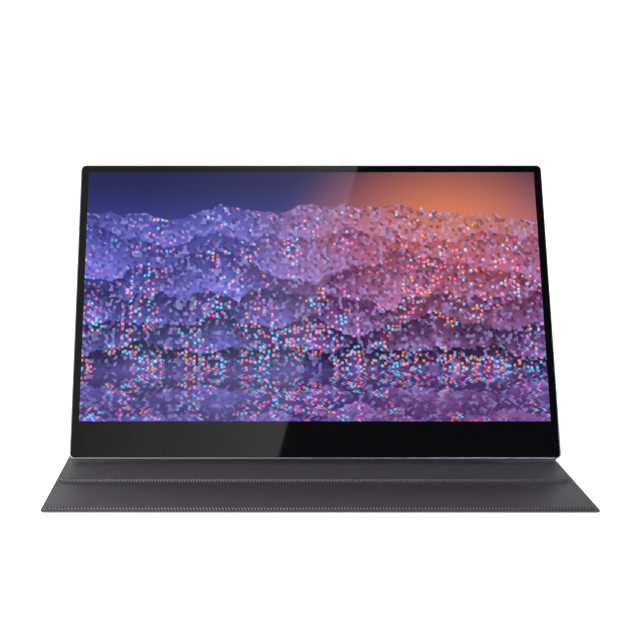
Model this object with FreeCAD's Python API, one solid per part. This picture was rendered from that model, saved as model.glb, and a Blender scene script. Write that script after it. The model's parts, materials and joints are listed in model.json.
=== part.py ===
import FreeCAD, Part

import math
import os

from FreeCAD import Placement, Rotation, Vector

os.makedirs("parts", exist_ok=True)

# A portable monitor that leans on its folio cover. All lengths are millimetres and all angles degrees.
# The cover lies on the table with its front edge towards -Y, and the screen faces -Y and up.
# The monitor's own pieces are drawn lying on its back: X across, Y up the screen, Z out of the screen.
# Each panel of the cover is drawn skin side down: X across, Y along the panel, Z from skin to lining.

# Monitor outline and pose
monitor_width = 356.4
monitor_height = 227.0
monitor_thickness = 9.5
monitor_corner_radius = 4.0
monitor_tilt = 24.8

# Metal shell of the monitor
rim_width = 0.9
rim_chamfer = 0.35
frame_wall = 2.2
rear_thickness = 1.2
rear_edge_radius = 0.8
boss_radius = 2.2
boss_inset = 3.6
boss_height = 3.4
side_boss_gap = 11.5
shell_screw_radius = 0.9
shell_screw_length = 3.6
shell_screw_head_radius = 1.8
screw_clearance = 0.05
screw_sink = 0.1

# Glass front and the display stack under it
glass_thickness = 1.1
glass_edge_gap = 0.15
glass_edge_chamfer = 0.25
tape_thickness = 0.3
tape_edge_gap = 0.1
bond_thickness = 0.3
picture_side_border = 6.1
picture_top_border = 6.0
picture_low = 27.4
cell_thickness = 1.0
cell_side_border = 2.2
cell_bottom_border = 7.0
cell_ledge = 3.0
diffuser_thickness = 0.6
guide_thickness = 0.9
reflector_thickness = 0.2
back_plate_thickness = 0.3
panel_frame_wall = 1.2
sheet_gap = 0.2
led_strip_thickness = 0.4
led_count = 28
led_width = 3.0
led_depth = 1.2
led_height = 0.8

# Driver board in the chin, its tails to the display and its cable to the main board
driver_board_end_gap = 24.3
driver_board_height = 9.0
driver_board_thickness = 0.8
driver_board_low = 6.0
tail_count = 6
tail_width = 22.0
tail_thickness = 0.12
tail_lap = 2.0
display_cable_width = 18.0
display_cable_thickness = 0.3
display_cable_inset = 22.3
display_cable_drop = 4.0
display_cable_lap = 6.0

# Main board, its chips and its screws
board_width = 116.0
board_low = 22.0
board_high = 92.0
board_thickness = 1.0
board_lift = 1.4
board_edge_gap = 4.5
board_tongue_width = 16.0
board_tongue_low = 6.0
post_radius = 2.2
post_inset = 6.0
board_screw_radius = 0.9
board_screw_length = 2.0
board_screw_head_radius = 1.7
board_screw_head_height = 0.6
chip_height = 1.1
chip_sides = (16.0, 12.0, 9.0, 6.0)
chip_across_shares = (0.30, 0.55, 0.20, 0.75)
chip_up_shares = (0.35, 0.60, 0.70, 0.25)

# Sockets on the right edge
socket_wall = 0.3
socket_setback = 0.5
socket_cut_gap = 0.25
usb_width = 8.94
usb_height = 3.2
usb_depth = 7.35
usb_tongue_width = 6.7
usb_tongue_thickness = 0.7
usb_tongue_length = 4.5
usb_lower_up = 34.0
usb_upper_up = 52.0
hdmi_width = 11.2
hdmi_height = 3.4
hdmi_depth = 7.5
hdmi_tongue_width = 8.2
hdmi_tongue_thickness = 0.6
hdmi_tongue_length = 4.2
hdmi_corner = 0.9
hdmi_up = 71.0
jack_width = 6.0
jack_height = 5.0
jack_depth = 13.0
jack_bore_radius = 1.8
jack_bore_depth = 12.0
jack_up = 11.0
jack_lift = 0.2
port_strip_margin = 2.5
port_strip_roof = 1.1
port_strip_gap = 0.1

# Keys on the left edge
key_board_width = 14.0
key_board_low = 58.0
key_board_high = 102.0
key_board_thickness = 0.8
key_board_edge_gap = 1.2
key_clearance = 0.3
button_length = 8.0
button_height = 2.4
button_round = 1.0
button_stand_out = 0.5
button_travel = 0.4
button_flange = 0.5
button_flange_thickness = 0.7
button_flange_gap = 0.1
button_up = 90.0
button_rise = 1.6
power_switch_side = 4.0
power_switch_gap = 0.15
wheel_radius = 5.0
wheel_thickness = 2.0
wheel_bore_radius = 1.25
wheel_stand_out = 0.7
wheel_up = 70.0
wheel_rise = 0.6
wheel_groove_count = 30
wheel_groove_radius = 0.25
menu_switch_radius = 1.6
menu_switch_height = 0.3
menu_pin_radius = 1.2
menu_pin_end = 0.2
key_cable_width = 8.0
key_cable_thickness = 0.2
key_cable_lap = 10.0
key_cable_up = 74.0

# Speakers and their wires
speaker_length = 38.0
speaker_height = 14.0
speaker_thickness = 3.4
speaker_round = 2.0
speaker_end_gap = 28.2
speaker_low = 4.0
slot_count = 7
slot_width = 1.2
slot_pitch = 4.2
slot_length = 9.0
wire_radius = 0.6
wire_bend = 8.0
wire_up = 11.0
wire_end_up = 25.0
left_wire_inset = 8.3
right_wire_inset = 40.3

# Steel strips inside the rear cover that the magnets hold
keeper_length = 84.0
keeper_height = 14.0
keeper_thickness = 0.5
keeper_end_gap = 26.2

# Folio cover: layers, outline and folds
skin_thickness = 0.5
stiffener_thickness = 1.5
lining_thickness = 0.4
cover_overhang = 2.0
cover_corner_radius = 3.0
cover_margin = 4.5
stiffener_corner_radius = 2.0
lining_lip = 0.3
fold_gap = 0.5
fold_lining_gap = 2.5
flap_length = 50.3
spine_length = 12.5
back_panel_length = 60.2
slide_gap = 0.1
release_gap = 0.25
magnet_radius = 5.0
magnet_thickness = 1.2
magnet_gap = 0.1
magnet_spread = 30.0

# One overrun serves all cuts
overrun = 5.0

# Levels of the monitor's layers, counted from its back
glass_level = monitor_thickness - glass_thickness
ledge_level = glass_level - tape_thickness
cell_level = glass_level - bond_thickness - cell_thickness
diffuser_level = cell_level - diffuser_thickness
guide_level = diffuser_level - guide_thickness
reflector_level = guide_level - reflector_thickness
back_plate_level = reflector_level - back_plate_thickness
board_level = rear_thickness + board_lift
board_top = board_level + board_thickness

# Sizes shared by several pieces
half_width = monitor_width / 2
picture_width = monitor_width - 2 * picture_side_border
picture_height = monitor_height - picture_top_border - picture_low
cell_width = picture_width + 2 * cell_side_border
cell_low = picture_low - cell_bottom_border
cell_high = picture_low + picture_height + cell_side_border
cell_height = cell_high - cell_low
inner_side = half_width - frame_wall
panel_thickness = skin_thickness + stiffener_thickness + lining_thickness
cover_width = monitor_width + 2 * cover_overhang
rear_panel_width = monitor_width
front_panel_length = monitor_height + cover_overhang
base_length = front_panel_length - flap_length
back_fold_height = monitor_height + cover_overhang - back_panel_length
fold_board_gap = fold_lining_gap + cover_margin
fold_level = skin_thickness / 2

# Places of the cover's folds. The strut and the monitor are the two equal sides of a triangle, so the
# monitor's lower edge keeps its height above the base panel as the screen leans.
edge_level = panel_thickness + slide_gap
foot_radius = edge_level
cover_depth = flap_length + base_length + spine_length + foot_radius
front_y = -cover_depth / 2
crease_y = front_y + flap_length
spine_fold_y = crease_y + base_length
foot_y = spine_fold_y + spine_length
back_fold_offset = release_gap + panel_thickness - fold_level
side_length = math.hypot(back_fold_height, back_fold_offset)
side_angle = 90 - monitor_tilt - math.degrees(math.atan2(back_fold_offset, back_fold_height))
edge_y = foot_y - 2 * side_length * math.cos(math.radians(side_angle))
strut_fold_rise = foot_radius - fold_level
strut_length = math.sqrt(side_length ** 2 - strut_fold_rise ** 2)
strut_angle = side_angle - math.degrees(math.atan2(strut_fold_rise, strut_length))

# Placements of the drawn pieces in the standing pose. The monitor's right side is flush with the cover's.
monitor_shift = cover_overhang
across = Vector(1, 0, 0)
upward = Vector(0, 0, 1)
monitor_place = Placement(Vector(monitor_shift, edge_y, edge_level), Rotation(across, 90 - monitor_tilt))
back_panel_shift = Vector(-monitor_shift, back_fold_height, -release_gap - panel_thickness)
back_panel_place = monitor_place.multiply(Placement(back_panel_shift, Rotation()))
strut_turn = Placement(Vector(0, foot_y, foot_radius), Rotation(across, 180 - strut_angle))
strut_place = strut_turn.multiply(Placement(Vector(0, 0, -foot_radius), Rotation()))
table_place = Placement()

pieces = {}


def keep(name, shape, place):
    """Stand a drawn piece in its place and keep it under its name."""
    pieces[name] = shape.transformed(place.toMatrix(), True)


def block(size_x, size_y, size_z, middle_x, low_y, low_z):
    """A plain box, centred across on middle_x."""
    return Part.makeBox(size_x, size_y, size_z, Vector(middle_x - size_x / 2, low_y, low_z))


def edges_along(shape, direction):
    """The straight edges of a box that run along a direction."""
    return [edge for edge in shape.Edges if edge.tangentAt(edge.FirstParameter).cross(direction).Length == 0]


def rounded_plate(size_x, size_y, size_z, radius, middle_x, low_y, low_z):
    """A box whose four upright edges are rounded."""
    plate = block(size_x, size_y, size_z, middle_x, low_y, low_z)
    return plate.makeFillet(radius, edges_along(plate, upward))


def rod(radius, length, start, direction):
    """A round bar from a point along a direction."""
    return Part.makeCylinder(radius, length, start, direction)


def inset_plate(inset, low_z, high_z):
    """A plate with the monitor's outline drawn in by an inset."""
    size_x = monitor_width - 2 * inset
    size_y = monitor_height - 2 * inset
    return rounded_plate(size_x, size_y, high_z - low_z, monitor_corner_radius - inset, 0, inset, low_z)


def socket_cut(width, height, round_radius, middle_y, middle_z):
    """A round-cornered hole through the strip in the frame's right wall."""
    low_x = inner_side - overrun
    size_x = frame_wall + 2 * overrun
    hole = Part.makeBox(size_x, width, height, Vector(low_x, middle_y - width / 2, middle_z - height / 2))
    return hole.makeFillet(round_radius, edges_along(hole, across))


# Where the sockets' mouths, the screws and the keys stand
socket_mouth = half_width - socket_setback
socket_middle_z = board_level + board_thickness / 2
jack_middle_z = rear_thickness + jack_lift + jack_height / 2
jack_hole_radius = jack_bore_radius + socket_cut_gap
port_strip_low = jack_up - jack_hole_radius - port_strip_margin
port_strip_high = hdmi_up + hdmi_width / 2 + socket_cut_gap + port_strip_margin
port_strip_top = ledge_level - port_strip_roof
button_low_z = rear_thickness + key_board_thickness + button_rise - button_height / 2
button_middle_z = button_low_z + button_height / 2
wheel_x = -half_width - wheel_stand_out + wheel_radius
wheel_low_z = rear_thickness + key_board_thickness + wheel_rise
boss_x = half_width - boss_inset
side_boss_up = key_board_high + side_boss_gap
boss_spots = [(x, y) for x in (-boss_x, 0, boss_x) for y in (boss_inset, monitor_height - boss_inset)]
boss_spots += [(x, side_boss_up) for x in (-boss_x, boss_x)]
board_right = half_width - board_edge_gap
board_left = board_right - board_width
speaker_middle = half_width - speaker_end_gap - speaker_length / 2
keeper_middle = half_width - keeper_end_gap - keeper_length / 2
post_spots = [
    (x, y)
    for x in (board_left + post_inset, board_right - 2 * post_inset)
    for y in (board_low + post_inset, board_high - post_inset)
]


def make_cover_glass():
    """The sheet of toughened glass, with its front edge ground to a small chamfer."""
    inset = rim_width + glass_edge_gap
    glass = inset_plate(inset, glass_level, monitor_thickness)
    front = [edge for edge in glass.Edges if edge.BoundBox.ZMin > glass_level + glass_thickness / 2]
    keep("cover_glass", glass.makeChamfer(glass_edge_chamfer, front), monitor_place)


def make_mid_frame():
    """The metal rim: a wall with a glass ledge, screw bosses, a notch for sockets and holes for keys."""
    frame = inset_plate(0, rear_thickness, monitor_thickness)
    front = [edge for edge in frame.Edges if edge.BoundBox.ZMin > monitor_thickness - rim_chamfer]
    frame = frame.makeChamfer(rim_chamfer, front)
    frame = frame.cut(inset_plate(rim_width, ledge_level, monitor_thickness + overrun))
    frame = frame.cut(inset_plate(frame_wall, rear_thickness - overrun, monitor_thickness + overrun))
    for x, y in boss_spots:
        frame = frame.fuse(rod(boss_radius, boss_height, Vector(x, y, rear_thickness), upward))
    for x, y in boss_spots:
        pilot_radius = shell_screw_radius + screw_clearance
        frame = frame.cut(rod(pilot_radius, boss_height + overrun, Vector(x, y, rear_thickness), upward))
    notch_corner = Vector(inner_side - overrun, port_strip_low, rear_thickness - overrun)
    notch_height = port_strip_top - rear_thickness + overrun
    frame = frame.cut(Part.makeBox(frame_wall + 2 * overrun, port_strip_high - port_strip_low, notch_height,
                                   notch_corner))
    frame = frame.cut(button_hole())
    frame = frame.cut(wheel_slot())
    keep("mid_frame", frame.removeSplitter(), monitor_place)


def make_port_strip():
    """The moulded strip in the rim's right side, with a hole for each socket."""
    strip_length = port_strip_high - port_strip_low - 2 * port_strip_gap
    strip_height = port_strip_top - rear_thickness - port_strip_gap
    strip = Part.makeBox(frame_wall, strip_length, strip_height,
                         Vector(inner_side, port_strip_low + port_strip_gap, rear_thickness))
    usb_cut_width = usb_width + 2 * socket_cut_gap
    usb_cut_height = usb_height + 2 * socket_cut_gap
    for up in (usb_lower_up, usb_upper_up):
        usb_round = usb_cut_height / 2 - socket_cut_gap
        strip = strip.cut(socket_cut(usb_cut_width, usb_cut_height, usb_round, up, socket_middle_z))
    hdmi_cut_width = hdmi_width + 2 * socket_cut_gap
    hdmi_cut_height = hdmi_height + 2 * socket_cut_gap
    strip = strip.cut(socket_cut(hdmi_cut_width, hdmi_cut_height, hdmi_corner, hdmi_up, socket_middle_z))
    jack_start = Vector(inner_side - overrun, jack_up, jack_middle_z)
    strip = strip.cut(rod(jack_hole_radius, frame_wall + 2 * overrun, jack_start, across))
    keep("port_strip", strip, monitor_place)


def button_hole():
    """The hole in the left wall that guides the power button."""
    length = button_length + 2 * key_clearance
    height = button_height + 2 * key_clearance
    corner = Vector(-half_width - overrun, button_up - length / 2, button_middle_z - height / 2)
    hole = Part.makeBox(frame_wall + 2 * overrun, length, height, corner)
    return hole.makeFillet(button_round, edges_along(hole, across))


def wheel_slot():
    """The slot in the left wall that the menu wheel looks out of."""
    radius = wheel_radius + key_clearance
    height = wheel_thickness + 2 * key_clearance
    return rod(radius, height, Vector(wheel_x, wheel_up, wheel_low_z - key_clearance), upward)


def make_rear_cover():
    """The metal back: a plate with rounded edge, sunk screw holes, sound slots and posts for the board."""
    cover = inset_plate(0, 0, rear_thickness)
    back = [edge for edge in cover.Edges if edge.BoundBox.ZMax < rear_thickness / 2]
    cover = cover.makeFillet(rear_edge_radius, back)
    for x, y in boss_spots:
        cover = cover.cut(sunk_screw(x, y, screw_clearance))
    for side in (-1, 1):
        for index in range(slot_count):
            x = side * speaker_middle + (index - (slot_count - 1) / 2) * slot_pitch
            low_y = speaker_low + (speaker_height - slot_length) / 2
            size_z = rear_thickness + 2 * overrun
            cover = cover.cut(rounded_plate(slot_width, slot_length, size_z, slot_width / 2 - screw_clearance, x,
                                            low_y, -overrun))
    for x, y in post_spots:
        cover = cover.fuse(rod(post_radius, board_lift, Vector(x, y, rear_thickness), upward))
        pilot = rod(board_screw_radius + screw_clearance, board_lift, Vector(x, y, rear_thickness), upward)
        cover = cover.cut(pilot)
    keep("rear_cover", cover.removeSplitter(), monitor_place)


def sunk_screw(x, y, spare):
    """One countersunk screw from behind, or with some spare room the hole that it goes in."""
    head_radius = shell_screw_head_radius + spare
    shank_radius = shell_screw_radius + spare
    head_height = head_radius - shank_radius
    start = screw_sink - spare
    head = Part.makeCone(head_radius, shank_radius, head_height, Vector(x, y, start), upward)
    shank = rod(shank_radius, shell_screw_length, Vector(x, y, start), upward)
    screw = head.fuse(shank)
    if spare > 0:
        screw = screw.fuse(rod(head_radius, start + overrun, Vector(x, y, -overrun), upward))
    return screw.removeSplitter()


def make_rear_cover_screws():
    """The countersunk screws that hold the rear cover to the frame's bosses."""
    screws = [sunk_screw(x, y, 0) for x, y in boss_spots]
    keep("rear_cover_screws", Part.makeCompound(screws), monitor_place)


def make_display_stack():
    """The tape and bond under the glass, and the display panel's layers from front to back."""
    tape_outer = rim_width + tape_edge_gap
    tape = inset_plate(tape_outer, ledge_level, glass_level)
    tape = tape.cut(inset_plate(frame_wall, ledge_level - overrun, glass_level + overrun))
    keep("glass_tape", tape, monitor_place)

    front_low = cell_low + cell_ledge
    front_height = cell_high - front_low
    bond = block(cell_width, front_height, bond_thickness, 0, front_low, glass_level - bond_thickness)
    keep("optical_bond", bond, monitor_place)

    half_cell = cell_thickness / 2
    cell = block(cell_width, cell_height, half_cell, 0, cell_low, cell_level)
    cell = cell.fuse(block(cell_width, front_height, half_cell, 0, front_low, cell_level + half_cell))
    keep("lcd_cell", cell.removeSplitter(), monitor_place)

    well_width = cell_width - 2 * panel_frame_wall
    well_low = cell_low + panel_frame_wall
    well_height = cell_height - 2 * panel_frame_wall
    frame_height = cell_level - reflector_level
    ring = block(cell_width, cell_height, frame_height, 0, cell_low, reflector_level)
    well = block(well_width, well_height, frame_height, 0, well_low, reflector_level)
    keep("panel_frame", ring.cut(well), monitor_place)

    sheet_width = well_width - 2 * sheet_gap
    sheet_low = well_low + led_strip_thickness + led_depth + sheet_gap
    sheet_height = well_low + well_height - sheet_gap - sheet_low
    for name, low_z, thickness in (
        ("diffuser_sheets", diffuser_level, diffuser_thickness),
        ("light_guide", guide_level, guide_thickness),
        ("reflector_sheet", reflector_level, reflector_thickness),
    ):
        keep(name, block(sheet_width, sheet_height, thickness, 0, sheet_low, low_z), monitor_place)

    strip = block(picture_width, led_strip_thickness, frame_height, 0, well_low, reflector_level)
    led_pitch = picture_width / led_count
    led_low_z = guide_level + (guide_thickness - led_height) / 2
    for index in range(led_count):
        led_x = (index - (led_count - 1) / 2) * led_pitch
        led_y = well_low + led_strip_thickness
        strip = strip.fuse(block(led_width, led_depth, led_height, led_x, led_y, led_low_z))
    keep("led_bar", strip, monitor_place)

    plate = block(cell_width, cell_height, back_plate_thickness, 0, cell_low, back_plate_level)
    keep("panel_back_plate", plate, monitor_place)


def make_driver_board():
    """The display's driver board in the chin, its film tails, and the flat cable to the main board."""
    tail_level = cell_level + cell_thickness / 2
    board_low_z = tail_level - driver_board_thickness
    driver_board_width = cell_width - 2 * driver_board_end_gap
    board = block(driver_board_width, driver_board_height, driver_board_thickness, 0, driver_board_low,
                  board_low_z)
    keep("driver_board", board, monitor_place)

    tail_pitch = driver_board_width / tail_count
    tail_low = driver_board_low + driver_board_height - tail_lap
    tail_length = cell_low + tail_lap - tail_low
    tails = []
    for index in range(tail_count):
        tail_x = (index - (tail_count - 1) / 2) * tail_pitch
        tails.append(block(tail_width, tail_length, tail_thickness, tail_x, tail_low, tail_level))
    keep("driver_tails", Part.makeCompound(tails), monitor_place)

    cable_middle = board_left + display_cable_inset
    cable_low = driver_board_low + display_cable_drop
    cable_length = board_low + display_cable_lap - cable_low
    cable = block(display_cable_width, cable_length, display_cable_thickness, cable_middle, cable_low, board_top)
    drop = block(display_cable_width, display_cable_thickness, board_low_z - board_top, cable_middle, cable_low,
                 board_top)
    keep("display_cable", cable.fuse(drop).removeSplitter(), monitor_place)


def edge_socket(width, height, depth, round_radius, middle_y, middle_z):
    """The outline solid of a socket that looks out of the right edge."""
    corner = Vector(socket_mouth - depth, middle_y - width / 2, middle_z - height / 2)
    body = Part.makeBox(depth, width, height, corner)
    return body.makeFillet(round_radius, edges_along(body, across))


def hollow_socket(width, height, depth, round_radius, tongue, middle_y, middle_z):
    """A socket's metal shell with its mouth and the contact tongue inside."""
    tongue_width, tongue_thickness, tongue_length = tongue
    shell = edge_socket(width, height, depth, round_radius, middle_y, middle_z)
    mouth_width = width - 2 * socket_wall
    mouth_height = height - 2 * socket_wall
    corner = Vector(socket_mouth - depth + 2 * socket_wall, middle_y - mouth_width / 2,
                    middle_z - mouth_height / 2)
    mouth = Part.makeBox(depth + overrun, mouth_width, mouth_height, corner)
    shell = shell.cut(mouth.makeFillet(round_radius - socket_wall, edges_along(mouth, across)))
    tongue_corner = Vector(socket_mouth - depth + socket_wall, middle_y - tongue_width / 2,
                           middle_z - tongue_thickness / 2)
    return shell.fuse(Part.makeBox(tongue_length + socket_wall, tongue_width, tongue_thickness, tongue_corner))


def make_sockets():
    """Two USB-C sockets, a mini HDMI socket and an audio jack on the right edge."""
    usb_round = usb_height / 2 - socket_wall / 2
    usb_tongue = (usb_tongue_width, usb_tongue_thickness, usb_tongue_length)
    for name, up in (("usb_c_socket_lower", usb_lower_up), ("usb_c_socket_upper", usb_upper_up)):
        socket = hollow_socket(usb_width, usb_height, usb_depth, usb_round, usb_tongue, up, socket_middle_z)
        keep(name, socket.removeSplitter(), monitor_place)
    hdmi_tongue = (hdmi_tongue_width, hdmi_tongue_thickness, hdmi_tongue_length)
    hdmi = hollow_socket(hdmi_width, hdmi_height, hdmi_depth, hdmi_corner, hdmi_tongue, hdmi_up,
                         socket_middle_z)
    keep("mini_hdmi_socket", hdmi.removeSplitter(), monitor_place)

    jack_low_x = inner_side - jack_depth
    jack = Part.makeBox(jack_depth, jack_width, jack_height,
                        Vector(jack_low_x, jack_up - jack_width / 2, jack_middle_z - jack_height / 2))
    bore_start = Vector(inner_side - jack_bore_depth, jack_up, jack_middle_z)
    jack = jack.cut(rod(jack_bore_radius, jack_bore_depth + overrun, bore_start, across))
    keep("audio_jack", jack, monitor_place)


def make_main_board():
    """The main circuit board with notches for its sockets, its chips, and the screws that hold it."""
    middle_x = (board_left + board_right) / 2
    board = block(board_width, board_high - board_low, board_thickness, middle_x, board_low, board_level)
    tongue_x = board_right - board_tongue_width / 2
    board = board.fuse(block(board_tongue_width, board_low - board_tongue_low, board_thickness, tongue_x,
                             board_tongue_low, board_level))
    usb_round = usb_height / 2 - socket_wall / 2
    for up in (usb_lower_up, usb_upper_up):
        board = board.cut(edge_socket(usb_width, usb_height, usb_depth, usb_round, up, socket_middle_z))
    board = board.cut(edge_socket(hdmi_width, hdmi_height, hdmi_depth, hdmi_corner, hdmi_up, socket_middle_z))
    jack_corner = Vector(inner_side - jack_depth, jack_up - jack_width / 2, board_level - overrun)
    board = board.cut(Part.makeBox(jack_depth, jack_width, board_thickness + 2 * overrun, jack_corner))
    for x, y in post_spots:
        hole_radius = board_screw_radius + screw_clearance
        board = board.cut(rod(hole_radius, board_thickness, Vector(x, y, board_level), upward))
    keep("main_board", board.removeSplitter(), monitor_place)

    chips = []
    for side, across_share, up_share in zip(chip_sides, chip_across_shares, chip_up_shares):
        chip_x = board_left + across_share * board_width
        chip_y = board_low + up_share * (board_high - board_low)
        chips.append(block(side, side, chip_height, chip_x, chip_y - side / 2, board_top))
    keep("main_chips", Part.makeCompound(chips), monitor_place)

    screws = []
    for x, y in post_spots:
        head = rod(board_screw_head_radius, board_screw_head_height, Vector(x, y, board_top), upward)
        shank_start = Vector(x, y, board_top - board_screw_length)
        screws.append(head.fuse(rod(board_screw_radius, board_screw_length, shank_start, upward)))
    keep("board_screws", Part.makeCompound(screws), monitor_place)


def make_keys():
    """The power button and the menu wheel on the left edge, with their switches and small board."""
    key_top = rear_thickness + key_board_thickness
    key_board_left = -inner_side + key_board_edge_gap
    key_board_right = key_board_left + key_board_width
    key_board_middle = (key_board_left + key_board_right) / 2
    key_board = block(key_board_width, key_board_high - key_board_low, key_board_thickness, key_board_middle,
                      key_board_low, rear_thickness)
    keep("key_board", key_board, monitor_place)

    stem_start = -half_width - button_stand_out
    flange_start = -inner_side + button_flange_gap
    stem = Part.makeBox(flange_start - stem_start, button_length, button_height,
                        Vector(stem_start, button_up - button_length / 2, button_low_z))
    stem = stem.makeFillet(button_round, edges_along(stem, across))
    flange_length = button_length + 2 * button_flange
    flange_height = button_height + 2 * button_flange
    flange_corner = Vector(flange_start, button_up - flange_length / 2, button_middle_z - flange_height / 2)
    flange = Part.makeBox(button_flange_thickness, flange_length, flange_height, flange_corner)
    keep("power_button", stem.fuse(flange).removeSplitter(), monitor_place)

    switch_start = flange_start + button_flange_thickness + button_travel + power_switch_gap
    switch_height = button_middle_z + button_height / 2 - key_top
    switch = Part.makeBox(power_switch_side, power_switch_side, switch_height,
                          Vector(switch_start, button_up - power_switch_side / 2, key_top))
    keep("power_switch", switch, monitor_place)

    wheel_start = Vector(wheel_x, wheel_up, wheel_low_z)
    wheel = rod(wheel_radius, wheel_thickness, wheel_start, upward)
    wheel = wheel.cut(rod(wheel_bore_radius, wheel_thickness, wheel_start, upward))
    for index in range(wheel_groove_count):
        angle = 2 * math.pi * index / wheel_groove_count
        groove_x = wheel_x + wheel_radius * math.cos(angle)
        groove_y = wheel_up + wheel_radius * math.sin(angle)
        groove_start = Vector(groove_x, groove_y, wheel_low_z)
        wheel = wheel.cut(rod(wheel_groove_radius, wheel_thickness, groove_start, upward))
    keep("menu_wheel", wheel, monitor_place)

    switch_middle = Vector(wheel_x, wheel_up, key_top)
    menu_switch = rod(menu_switch_radius, menu_switch_height, switch_middle, upward)
    pin_length = wheel_rise + wheel_thickness + menu_pin_end
    menu_switch = menu_switch.fuse(rod(menu_pin_radius, pin_length, switch_middle, upward))
    keep("menu_switch", menu_switch.removeSplitter(), monitor_place)

    cable_end = board_left + key_cable_lap
    cable_middle = (key_board_right + cable_end) / 2
    cable_low = key_cable_up - key_cable_width / 2
    cable = block(cable_end - key_board_right, key_cable_width, key_cable_thickness, cable_middle, cable_low,
                  rear_thickness)
    plug = block(key_cable_lap / 2, key_cable_width, board_lift, cable_end - key_cable_lap / 4, cable_low,
                 rear_thickness)
    keep("key_cable", cable.fuse(plug).removeSplitter(), monitor_place)


def make_speakers():
    """A flat speaker behind the chin on each side, and the wires from both to the main board."""
    for name, side in (("speaker_left", -1), ("speaker_right", 1)):
        speaker = rounded_plate(speaker_length, speaker_height, speaker_thickness, speaker_round,
                                side * speaker_middle, speaker_low, rear_thickness)
        keep(name, speaker, monitor_place)
    inner_end = speaker_middle - speaker_length / 2
    left_wire_end = board_left + left_wire_inset
    right_wire_end = board_left + right_wire_inset
    wires = [bent_wire(-inner_end, left_wire_end, 1), bent_wire(inner_end, right_wire_end, -1)]
    keep("speaker_wires", Part.makeCompound(wires), monitor_place)


def bent_wire(start_x, end_x, way):
    """A wire that runs along the chin and bends up under the main board's lower edge."""
    level = rear_thickness + wire_radius
    start = Vector(start_x, wire_up, level)
    bend_start = Vector(end_x - way * wire_bend, wire_up, level)
    bend_end = Vector(end_x, wire_up + wire_bend, level)
    half_turn = math.sqrt(2) / 2
    bend_middle = Vector(end_x - way * wire_bend * (1 - half_turn), wire_up + wire_bend * (1 - half_turn), level)
    end = Vector(end_x, wire_end_up, level)
    bend = Part.Arc(bend_start, bend_middle, bend_end).toShape()
    first_run = Part.LineSegment(start, bend_start).toShape()
    last_run = Part.LineSegment(bend_end, end).toShape()
    path = Part.Wire([first_run, bend, last_run])
    section = Part.Wire([Part.Circle(start, across, wire_radius).toShape()])
    return path.makePipeShell([section], True, False)


def make_keeper_plates():
    """Two steel strips glued inside the rear cover, behind the cover's magnets."""
    low_y = back_fold_height + (back_panel_length - keeper_height) / 2
    strips = [
        block(keeper_length, keeper_height, keeper_thickness, side * keeper_middle, low_y, rear_thickness)
        for side in (-1, 1)
    ]
    keep("keeper_plates", Part.makeCompound(strips), monitor_place)


def fold_rod(width, radius, fold_y, fold_z):
    """A round bar right across a panel, about a fold line."""
    return rod(radius, width, Vector(-width / 2, fold_y, fold_z), across)


def fold_cut(radius, fold_y, fold_z):
    """A round bar about a fold line, longer than the cover is wide, for a cut."""
    start = Vector(-cover_width / 2 - overrun, fold_y, fold_z)
    return rod(radius, cover_width + 2 * overrun, start, across)


def round_free_corners(slab, free_y):
    """Round the two upright edges of a slab that stand at its free end."""
    upright = [edge for edge in edges_along(slab, upward) if math.isclose(edge.CenterOfMass.y, free_y)]
    return slab.makeFillet(cover_corner_radius, upright)


def make_skin(width, low_y, high_y, free_y):
    """The outer sheet of one panel, with rounded corners at a free end."""
    skin = block(width, high_y - low_y, skin_thickness, 0, low_y, 0)
    if free_y is None:
        return skin
    return round_free_corners(skin, free_y)


def make_board(width, low_y, high_y):
    """The stiffener board of one panel, lying on the skin, with rounded corners."""
    board_across = width - 2 * cover_margin
    return rounded_plate(board_across, high_y - low_y, stiffener_thickness, stiffener_corner_radius, 0, low_y,
                         skin_thickness)


def rounded_outline(size_x, low_y, high_y, radius, level):
    """A round-cornered rectangle at a level, centred across."""
    plate = rounded_plate(size_x, high_y - low_y, overrun, radius, 0, low_y, level)
    lowest = min(plate.Faces, key=lambda face: face.CenterOfMass.z)
    return lowest.OuterWire


def make_lining(width, low_y, high_y, free_y, board):
    """The inner sheet of one panel: thin at its edges, rising in a slope to the level over the board."""
    sheet = block(width, high_y - low_y, lining_thickness, 0, low_y, skin_thickness)
    if free_y is not None:
        sheet = round_free_corners(sheet, free_y)
    box = board.BoundBox
    foot_level = skin_thickness + lining_thickness
    foot_across = width - 2 * lining_lip
    slope_foot = rounded_outline(foot_across, low_y + lining_lip, high_y - lining_lip, cover_corner_radius,
                                 foot_level)
    slope_top = rounded_outline(box.XLength, box.YMin, box.YMax, stiffener_corner_radius, panel_thickness)
    raised = Part.makeLoft([slope_foot, slope_top], True, True)
    return sheet.fuse(raised).cut(board).removeSplitter()


def make_base():
    """The panel that the monitor stands on. Its skin ends in a round bead at each fold."""
    skin = make_skin(cover_width, crease_y, spine_fold_y, None)
    for fold_y in (crease_y, spine_fold_y):
        skin = skin.fuse(fold_rod(cover_width, fold_level, fold_y, fold_level))
    board = make_board(cover_width, crease_y + fold_board_gap, spine_fold_y - fold_board_gap)
    lining = make_lining(cover_width, crease_y + fold_lining_gap, spine_fold_y - fold_lining_gap, None, board)
    keep("base_skin", skin.removeSplitter(), table_place)
    keep("base_board", board, table_place)
    keep("base_lining", lining, table_place)


def make_flap():
    """The front strip of the cover, which folds up at the crease."""
    skin = make_skin(cover_width, front_y, crease_y, front_y)
    skin = skin.cut(fold_cut(fold_level + fold_gap, crease_y, fold_level))
    board = make_board(cover_width, front_y + cover_margin, crease_y - fold_board_gap)
    lining = make_lining(cover_width, front_y, crease_y - fold_lining_gap, front_y, board)
    keep("flap_skin", skin, table_place)
    keep("flap_board", board, table_place)
    keep("flap_lining", lining, table_place)


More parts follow.
